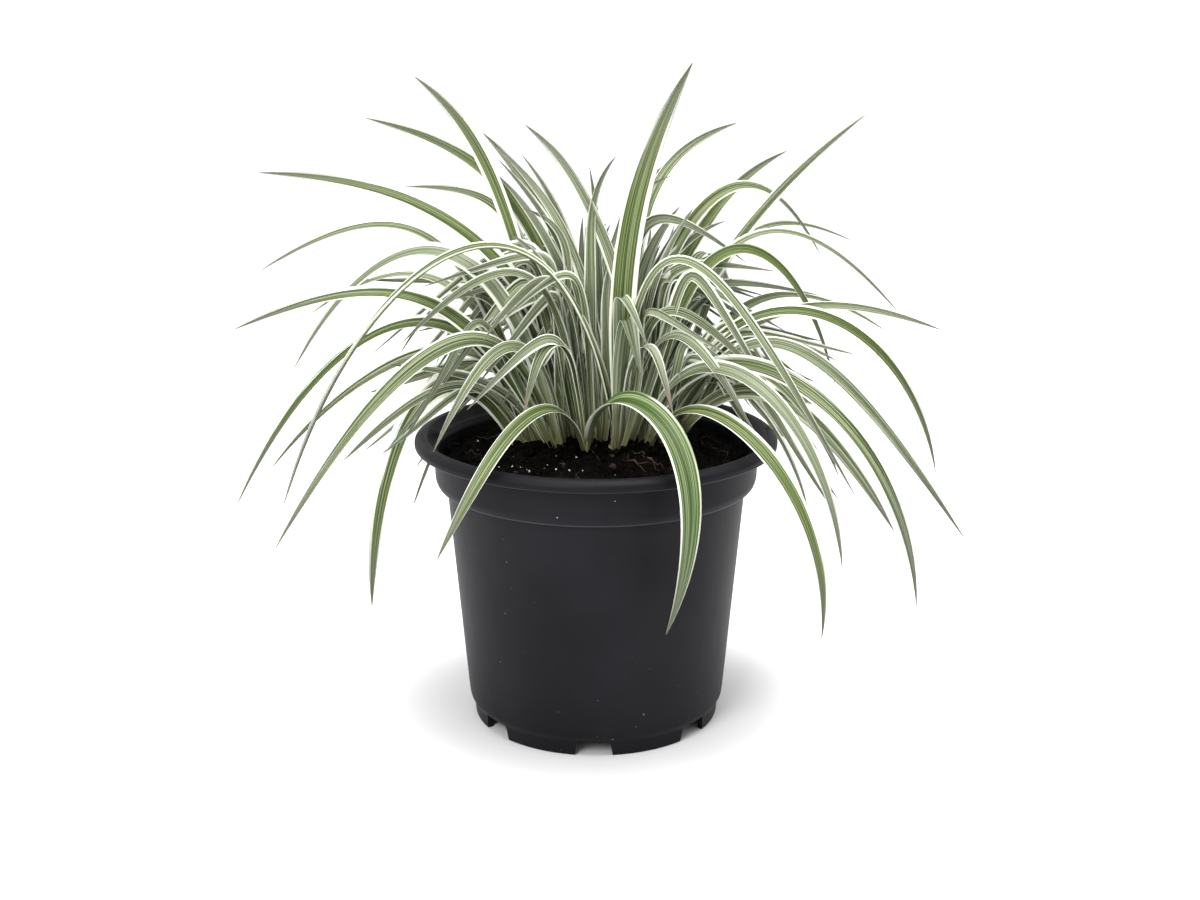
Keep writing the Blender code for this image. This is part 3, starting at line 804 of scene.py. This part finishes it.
greyed = leaf.mix(beneath * (0.26 - 0.2 * margin), top_side, (0.31, 0.34, 0.26))
blanched = leaf.mix(
    base_length.step(48.0, 4.0) * (0.8 - 0.35 * pale_lines) * vivid.step(1.4, 0.1), greyed,
    (0.54, 0.61, 0.25))
stained = leaf.mix(base_length.step(26.0, 7.0) * (0.35 + drift), blanched, (0.16, 0.145, 0.055))
fading = leaf.mix(share.step(0.62, 1.05) * 0.75, stained, (0.155, 0.165, 0.125))
withered = leaf.mix((share + (lines - 0.5) * 0.12 - (1.0 - dry * 0.4)).step(-0.03, 0.04)
                    * dry.step(0.05, 0.15), fading, (0.33, 0.26, 0.21))
spots = leaf.noise(leaf.point(across * 6.0, along * 2.5, tone * 3.0), 1.0, 2.0)
spotted = leaf.mix(spots.step(0.71, 0.77) * 0.6, withered, (0.24, 0.17, 0.10))
leaf.feed("Base Color", spotted)
leaf.feed("Roughness", 0.42 + 0.22 * lines + 0.1 * beneath)
leaf.bump(lines * 0.5 + (across * (2.0 * math.pi * 13.0)).wave() * 0.22, 0.5, 0.00022)
LIGHT_THROUGH = 0.34           # the share of light that a leaf lets through
glow = leaf.node("BsdfTranslucent", {}, {"Color": spotted}, out="BSDF")
surface = Value(leaf, leaf.shader.outputs["BSDF"])
thin = leaf.node("MixShader", {}, {"Fac": LIGHT_THROUGH, 1: surface, 2: glow}, out="Shader")
leaf.tree.links.new(thin.socket, leaf.tree.nodes["Material Output"].inputs["Surface"])

FLANK = 8.5                    # how far from a shoot's middle a leaf leaves it at soil level
FLANK_SLOPE = 0.33             # how much nearer for each millimetre up
ROOT_DEPTH = 3.0
ROOT_STATIONS = 6
BASE_ROLL = 48.0               # how far a leaf's foot turns its face outward
LEAF_CUP = 0.12                # the cup of its cross section, as strips takes it


def cubic(points, t):
    """Cubic Bezier curves: points is (curves, 4, 2), t (stations,)."""
    weights = np.stack([(1 - t) ** 3, 3 * t * (1 - t) ** 2, 3 * t ** 2 * (1 - t), t ** 3])
    return np.einsum("cij,is->csj", points, weights)


def arches(start, slope, crest, tip, dip, early, late):
    """Control points of arching leaves in their own upright planes (distance out, height).

    Both handles of a curve are one length: 0.4 of the straight distance where crest is 0, and
    otherwise found by halving so that the curve's top reaches crest. early and late scale them.
    """
    rise = np.stack([np.cos(slope), np.sin(slope)], axis=-1)
    fall = np.stack([np.cos(dip), np.sin(dip)], axis=-1)
    chord = np.linalg.norm(tip - start, axis=-1)

    def curve(handle):
        return np.stack([start, start + (early * handle)[:, None] * rise,
                         tip - (late * handle)[:, None] * fall, tip], axis=1)

    low, high = 0.05 * chord, 2.0 * chord
    for _ in range(30):
        middle = (low + high) / 2
        short = cubic(curve(middle), np.linspace(0.0, 1.0, 41))[..., 1].max(axis=1) < crest
        low, high = np.where(short, middle, low), np.where(short, high, middle)
    return curve(np.where(crest > 0, (low + high) / 2, 0.4 * chord))


def grown(rows, bases, habit, count, seed):
    """Paths, headings, widths, rolls and folds of leaves given by table rows.

    A row is start height, heading, slope, crest, reach, tip height, dip, width, roll. Below
    its start a leaf runs on down into the soil beside the shoot in a second, short curve. The
    width swells from six tenths over the first third and tapers as the share to the fifth; a
    slow random sway and twist are added, which fade out at both ends of the leaf. The roll
    grows along the leaf, and the foot's roll fades as the cube of what is left of it.
    """
    draw = np.random.default_rng(seed)
    tall, heading, slope, crest, reach, tip_height, dip, width, roll = np.array(rows, float).T
    heading, slope, dip = np.radians(heading), np.radians(slope), np.radians(dip)
    start = np.stack([FLANK - FLANK_SLOPE * tall, SOIL_LEVEL + tall], axis=-1)
    tip = np.stack([reach, tip_height], axis=-1)
    curves = arches(start, slope, crest, tip, dip, habit[:, 0], habit[:, 1])
    inward = np.minimum(
        0.35 * start[:, 0], start[:, 0] - 0.9 * (tall + ROOT_DEPTH) / np.tan(slope))
    root = np.stack([inward, np.full(len(start), SOIL_LEVEL - ROOT_DEPTH)], axis=-1)
    gap = np.linalg.norm(start - root, axis=-1, keepdims=True) * 0.35
    rise = np.stack([np.cos(slope), np.sin(slope)], axis=-1)
    lower = np.stack([root, root + gap * (0.5 * rise + np.array([0.0, 0.5])),
                      start - gap * rise, start], axis=1)
    t = np.linspace(0.0, 1.0, count)
    path = np.concatenate(
        [cubic(lower, np.linspace(0.0, 1.0, ROOT_STATIONS)[:-1]), cubic(curves, t)], axis=1)
    whole = np.concatenate([np.zeros(ROOT_STATIONS - 1), t])
    inner = (whole * (1.0 - whole) * 4.0)[None]
    phase, pace = draw.uniform(0.0, 6.3, (len(start), 1)), draw.uniform(4.0, 8.0, (len(start), 1))
    sway = 1.1 * inner * np.sin(pace * whole + phase)
    twist = 0.22 * inner * np.sin(pace * 0.8 * whole + 2.0 * phase)
    x = bases[:, :1] + path[..., 0] * np.cos(heading)[:, None] - sway * np.sin(heading)[:, None]
    y = bases[:, 1:] + path[..., 0] * np.sin(heading)[:, None] + sway * np.cos(heading)[:, None]
    swell = 0.6 + 0.4 * np.sin(np.pi / 2 * np.minimum(1.0, whole / 0.3))
    widths = width[:, None] * swell * (1.0 - 0.97 * whole ** 5)
    toward = 0.9 + 1.2 * whole
    rolls = np.radians(roll)[:, None] * np.sign(np.cos(heading))[:, None] * toward + twist
    rolls += np.radians(BASE_ROLL) * np.cos(heading)[:, None] * (1.0 - whole) ** 3
    folds = 0.20 + 0.35 * np.clip(1.0 - whole / 0.15, 0, 1) + 0.25 * whole ** 4
    return np.stack([x, y, path[..., 1]], axis=-1), heading, widths, rolls, folds


LEAVES = {
    # name: shoot; start height, heading, slope, crest, reach, tip height, dip, width, roll;
    # early and late handle scale; tone, vivid, cream, dry
    "left_1": ("e", 14, 180, 72, 0, 148, 257, 3, 8.8, 30, 1.15, 1.15, 0.2, 2.4, 0.6, 0),
    "left_2": ("a", 17, 166, 75, 232, 132, 209, -30, 6.5, 20, 1, 1, 0.5, 1.1, 0.68, 0.1),
    "left_3": ("b", 18, 172, 77, 223, 124, 167, -58, 8.5, 22, 1, 1.2, 1.0, 0, 0.55, 0),
    "left_4": ("b", 10, 186, 64, 207, 143, 192, -22, 8, 25, 1, 1, 0.3, 1.5, 0.66, 0),
    "left_5": ("a", 13, 188, 74, 192, 138, 108, -62, 8, 20, 1, 1.3, 0.3, 2.0, 0.72, 0),
    "left_6": ("b", 14, 205, 73, 188, 135, 103, -55, 8, 20, 1, 1.2, 0.4, 1.2, 0.84, 0),
    "left_7": ("a", 9, 202, 62, 164, 90, 134, -38, 6, 20, 1, 1, 0.4, 0.9, 0.84, 0),
    "left_8": ("f", 18, 192.5, 80, 228, 153.5, 116, -70, 11, -10, 1, 1, 0.9, 1.7, 0.66, 0),
    "left_9": ("a", 6, 168, 62, 161, 83, 44, -87, 12, 42, 1, 1.2, 0.2, 3.0, 0.66, 0.05),
    "left_10": ("c", 13, 142, 76, 245, 96, 244, -4, 6, 30, 1, 1, 0.5, 1.6, 0.66, 0),
    "top_1": ("f", 20, 15, 88, 0, 34, 304, 58, 12, 42, 1, 1, 0.2, 1.7, 0.72, 0),
    "top_2": ("c", 19, 165, 78, 0, 67, 297, 36, 7.5, 25, 1.5, 0.6, 0.2, 2.0, 0.62, 0),
    "top_3": ("g", 18, 160, 80, 0, 68, 272, 38, 6.5, 30, 1, 0.6, 0.4, 1.4, 0.66, 0),
    "top_4": ("e", 18, 150, 80, 0, 124, 276, 10, 7, 30, 1.4, 1, 0.3, 1.8, 0.68, 0),
    "top_5": ("g", 22, 46, 86, 0, 80, 274, 8, 6, 30, 1.3, 1.2, 0.2, 0.2, 0.77, 0),
    "top_6": ("h", 18, 150, 84, 0, 64, 276, 32, 6, 40, 1.4, 0.6, 0.8, 0.6, 0.68, 0),
    "top_7": ("e", 18, 60, 88, 0, 24, 262, 25, 6, 40, 1, 1, 0.6, 0.4, 0.74, 0),
    "right_1": ("g", 8, 18, 62, 0, 119, 279, 34, 6.1, 30, 1, 1, 0.5, 0.9, 0.64, 0),
    "right_2": ("g", 14, 40, 70, 0, 106, 260, 15, 6.1, 30, 1, 1, 0.2, 1.8, 0.84, 0),
    "right_3": ("g", 18, 26, 78, 248, 108, 213, -56, 6.1, 25, 1, 1, 0.3, 1.6, 0.83, 0),
    "right_4": ("i", 13, 35, 70, 229, 116, 217, -22, 4.3, 20, 1, 1, 0.6, 0.2, 0.76, 0),
    "right_5": ("g", 11, 8, 70, 229, 133, 190, -47, 5.2, 20, 1, 1, 0.7, 0.1, 0.84, 0),
    "right_6": ("h", 17, 17, 82, 222, 96, 156, -72, 6.5, 25, 1, 1, 0.3, 2.0, 0.84, 0),
    "right_7": ("i", 13, 6, 66, 195, 132, 183, -20, 6.1, 25, 1, 1, 0.3, 1.2, 0.79, 0),
    "right_8": ("i", 17, 352, 70, 196, 128, 122, -78, 6.1, 32, 1, 1, 0.2, 1.8, 0.68, 0),
    "right_9": ("i", 9, 341, 66, 183, 144, 99, -53, 6.1, 25, 1, 1, 0.6, 0.1, 0.84, 0),
    "right_10": ("h", 12, 334, 72, 177, 134, 75, -84, 7.5, 36, 1, 1.3, 0.4, 1.3, 0.66, 0),
    "right_11": ("i", 5, 340, 58, 160, 112, 100, -58, 7.5, 36, 1, 1, 0.5, 0.5, 0.84, 0.05),
    "front_1": ("d", 12, 300, 70, 165, 70, 66, -118, 12.5, 10, 1, 2.6, 0.08, 1.9, 0.78, 0),
    "front_2": ("h", 7, 312, 62, 157, 112, 69, -94, 7.5, 12, 1, 1.5, 0.3, 2.0, 0.76, 0.05),
    "front_3": ("d", 8, 236, 66, 159, 111, 112, -46, 8, 12, 1, 1.2, 0.4, 1.6, 0.78, 0),
    "front_4": ("f", 18, 338.1, 85, 222, 115.1, 122, -57, 5.5, 25, 1, 1, 0.6, 0.9, 0.74, 0),
    "front_5": ("f", 13, 352, 80, 198, 66, 170, -43, 6, 30, 1, 1, 0.2, 0, 0.84, 0),
    "front_6": ("h", 13, 321, 76, 176, 109, 96, -82, 7, 20, 1, 1.4, 0.8, 0, 0.78, 0.12),
    "front_7": ("h", 8, 357, 74, 172, 42, 160, -38, 6, 25, 1, 1, 0.7, 0.2, 0.63, 0),
    "front_8": ("e", 18, 216, 86, 211, 58, 188, -49, 6, 30, 1, 1, 0.4, 0.1, 0.82, 0),
    "front_9": ("d", 15, 218, 80, 188, 66, 163, -35, 5.5, 30, 1, 1, 0.8, 0.6, 0.8, 0),
    "front_10": ("f", 15, 296, 86, 196, 25, 173, -68, 9, 10, 1, 1, 0.5, 0.1, 0.82, 0),
    "front_11": ("f", 12, 312, 84, 184, 38, 156, -71, 6, 10, 1, 1, 0.4, 0.9, 0.8, 0.3),
    "back_1": ("e", 14, 112, 74, 215, 97, 176, -48, 7, 0, 1, 1, 0.3, 0.4, 0.78, 0),
    "back_2": ("g", 12, 80, 72, 205, 95, 150, -58, 7, 0, 1, 1, 0.4, 0, 0.72, 0),
    "back_3": ("c", 11, 128, 66, 198, 108, 150, -55, 6.5, 0, 1, 1, 0.3, 0.2, 0.84, 0),
    "back_4": ("i", 15, 66, 72, 214, 104, 172, -50, 6.5, 0, 1, 1, 0.5, 0.1, 0.74, 0),
    "back_5": ("e", 8, 94, 60, 176, 94, 96, -80, 7.5, 0, 1, 1, 0.3, 0, 0.64, 0),
}
LEAF_STATIONS = 40
for number, (leaf_name, row) in enumerate(LEAVES.items()):
    base = np.array([SHOOTS[row[0]][:2]])
    leaf_path, leaf_heading, leaf_width, leaf_roll, leaf_fold = grown(
        [row[1:10]], base, np.array([row[10:12]], float), LEAF_STATIONS, 100 + number)
    leaf_points, leaf_quads = strips(
        leaf_path, leaf_heading, leaf_width, leaf_roll, leaf_fold, LEAF_CUP, 0.5)
    leaf_tone, leaf_vivid, leaf_cream, leaf_dry = ([value] for value in row[12:])
    leaf_marks, leaf_uv = strip_marks(leaf_path, number * 3.7, tone=leaf_tone, vivid=leaf_vivid,
                                      cream=leaf_cream, dry=leaf_dry)
    blade = piece(f"blade_{leaf_name}", leaf_points, leaf_quads, leaf, "leaf", leaf_marks,
                  leaf_uv)
    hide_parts(f"leaf_{leaf_name}")


# --------------------------------------------------------------
# Smaller and further leaves, of the same make: those that cross in front of, between and
# behind the large ones. Joined in groups, as they are too many and too thin to part.
# --------------------------------------------------------------
def leaf_group(name, rows, bases, looks, stations, seed):
    """Joins leaves into one piece; rows and bases are as for grown, with plain handles.

    looks is (leaves, 4): tone, vivid, cream and dry.
    """
    path, heading, widths, rolls, folds = grown(
        rows, bases, np.ones((len(rows), 2)), stations, seed)
    points, quads = strips(path, heading, widths, rolls, folds, LEAF_CUP, 0.4)
    marks, uv = strip_marks(path, seed * 1.7, tone=looks[:, 0], vivid=looks[:, 1],
                            cream=looks[:, 2], dry=looks[:, 3])
    piece(name, points, quads, leaf, "leaf", marks, uv)


MORE_LEAVES = np.array([
    # base x, y; start height, heading, slope, crest, reach, tip height, dip, width, roll
    (-16, 4, 16, 160, 78, 206, 103, 204, 0, 5.5, 20),
    (-28, 4, 14, 182, 74, 178, 126, 121, -50, 6.0, 20),
    (28, 4, 12, 5, 72, 163, 75, 97, -74, 6.0, 20),
    (-4, -10, 16, 225, 84, 186, 40, 156, -73, 6.0, 20),
    (-26, 0, 12, 190, 66, 0, 69, 174, 12, 5.0, 20),
    (-30, 4, 10, 170, 66, 158, 60, 98, -68, 5.5, 20),
    (4, 10, 20, 120, 88, 0, 14, 258, 70, 5.0, 30),
    (6, 10, 20, 60, 86, 0, 57, 256, 14, 5.0, 30),
    (20, 6, 16, 12, 78, 206, 87, 199, -12, 5.5, 20),
    (22, 4, 16, 0, 76, 182, 90, 172, -29, 5.5, 20),
    (-20, 4, 16, 175, 76, 203, 72, 174, -57, 5.0, 20),
    (6, 6, 20, 162, 84, 0, 55, 268, 40, 5.5, 30),
    (2, 4, 20, 168, 84, 0, 47, 262, 44, 5.0, 30),
    (-2, 8, 20, 158, 84, 0, 48, 255, 40, 5.5, 25),
    (4, 12, 18, 150, 82, 0, 44, 262, 46, 5.0, 25),
    (10, 4, 20, 20, 86, 236, 64, 214, -36, 6.0, 30),
    (-6, 0, 18, 196, 82, 215, 84, 186, -42, 6.0, 25),
    (26, -2, 12, 338, 72, 176, 90, 128, -66, 6.5, 20),
    (14, -4, 16, 330, 80, 188, 64, 150, -58, 6.0, 20),
    (-14, -6, 14, 214, 78, 184, 70, 142, -60, 6.0, 20),
    (0, -4, 18, 205, 86, 214, 46, 196, -40, 5.5, 30),
    (30, 6, 12, 20, 70, 198, 118, 178, -32, 5.5, 20),
    (-26, 6, 14, 160, 72, 208, 120, 186, -34, 5.5, 20),
    (8, -8, 18, 300, 86, 205, 30, 186, -50, 6.0, 10)], float)
WITHERED_ONE = 3               # the row of the leaf whose tip has withered
more_looks = np.stack([rng.uniform(0.15, 0.75, len(MORE_LEAVES)),
                       rng.uniform(0.0, 1.1, len(MORE_LEAVES)),
                       rng.uniform(0.66, 0.84, len(MORE_LEAVES)),
                       0.25 * (np.arange(len(MORE_LEAVES)) == WITHERED_ONE)], axis=-1)
leaf_group("leaves_between", MORE_LEAVES[:, 2:], MORE_LEAVES[:, :2], more_looks, 30, 41)


def drawer(seed, count):
    """A function that draws one number between two for each of count leaves."""
    source = np.random.default_rng(seed)
    return lambda low, high, *more: source.uniform(low, high, (count, *more))


# Steep leaves that fill the upper half of the clump, from feet strewn along it.
UPRIGHT_COUNT = 26
draw = drawer(51, UPRIGHT_COUNT)
upright_bases = np.stack([draw(-18.0, 22.0), draw(0.0, 16.0)], axis=-1)
upright_reach = draw(14.0, 60.0)
upright = np.stack([
    draw(8.0, 18.0), 90.0 - 2.4 * upright_bases[:, 0] + draw(-55.0, 55.0), draw(80.0, 88.0),
    np.zeros(UPRIGHT_COUNT), upright_reach, 264.0 - 0.55 * upright_reach - draw(0.0, 34.0),
    draw(10.0, 62.0), draw(4.6, 6.6), draw(15.0, 35.0)], axis=-1)
upright_looks = np.stack([
    draw(0.2, 0.8), draw(0.1, 1.0), draw(0.62, 0.85), np.zeros(UPRIGHT_COUNT)], axis=-1)
leaf_group("leaves_upright", upright, upright_bases, upright_looks, 24, 51)

# Arching leaves on both sides. Each rises from the shoot nearest to where its height and
# heading would put its foot, and those that lean towards the front reach less far.
ARCHED_COUNT = 62
draw = drawer(52, ARCHED_COUNT)
to_left = draw(0.0, 1.0) < 0.5
low = draw(0.0, 1.0)           # 0 for the steep inner leaves, 1 for the low ones
arched_heading = np.where(to_left, draw(118.0, 208.0), draw(-30.0, 62.0))
wanted = np.stack([np.where(to_left, -1.0, 1.0) * (4.0 + 27.0 * low) + 2.0,
                   9.0 * np.sin(np.radians(arched_heading)) + 2.0], axis=-1)
shoot_places = np.array([place[:2] for place in SHOOTS.values()])
nearest = np.argmin(np.linalg.norm(wanted[:, None] - shoot_places, axis=-1), axis=1)
arched_bases = shoot_places[nearest] + draw(-2.5, 2.5, 2)
forward = np.clip(-2.0 * np.sin(np.radians(arched_heading)), 0.0, 1.0)
arched_reach = draw(58.0, 104.0) * (1.0 - 0.45 * forward)
arched_crest = 222.0 - 64.0 * low + draw(-9.0, 9.0)
arched_crest = np.minimum(arched_crest, 138.0 + arched_reach * 1.1)
arched_drop = arched_reach * draw(0.0, 0.8)
arched = np.stack([
    draw(3.0, 14.0), arched_heading, 79.0 - 24.0 * low + draw(-4.0, 4.0), arched_crest,
    arched_reach, np.maximum(arched_crest - 3.0 - arched_drop, 96.0),
    -8.0 - 66.0 * arched_drop / arched_reach, draw(5.0, 7.2), draw(18.0, 36.0)], axis=-1)
arched_looks = np.stack([
    draw(0.15, 0.8), draw(0.0, 1.2) ** 1.3, draw(0.62, 0.86),
    0.15 * (draw(0.0, 1.0) > 0.93)], axis=-1)
leaf_group("leaves_arched", arched, arched_bases, arched_looks, 24, 52)
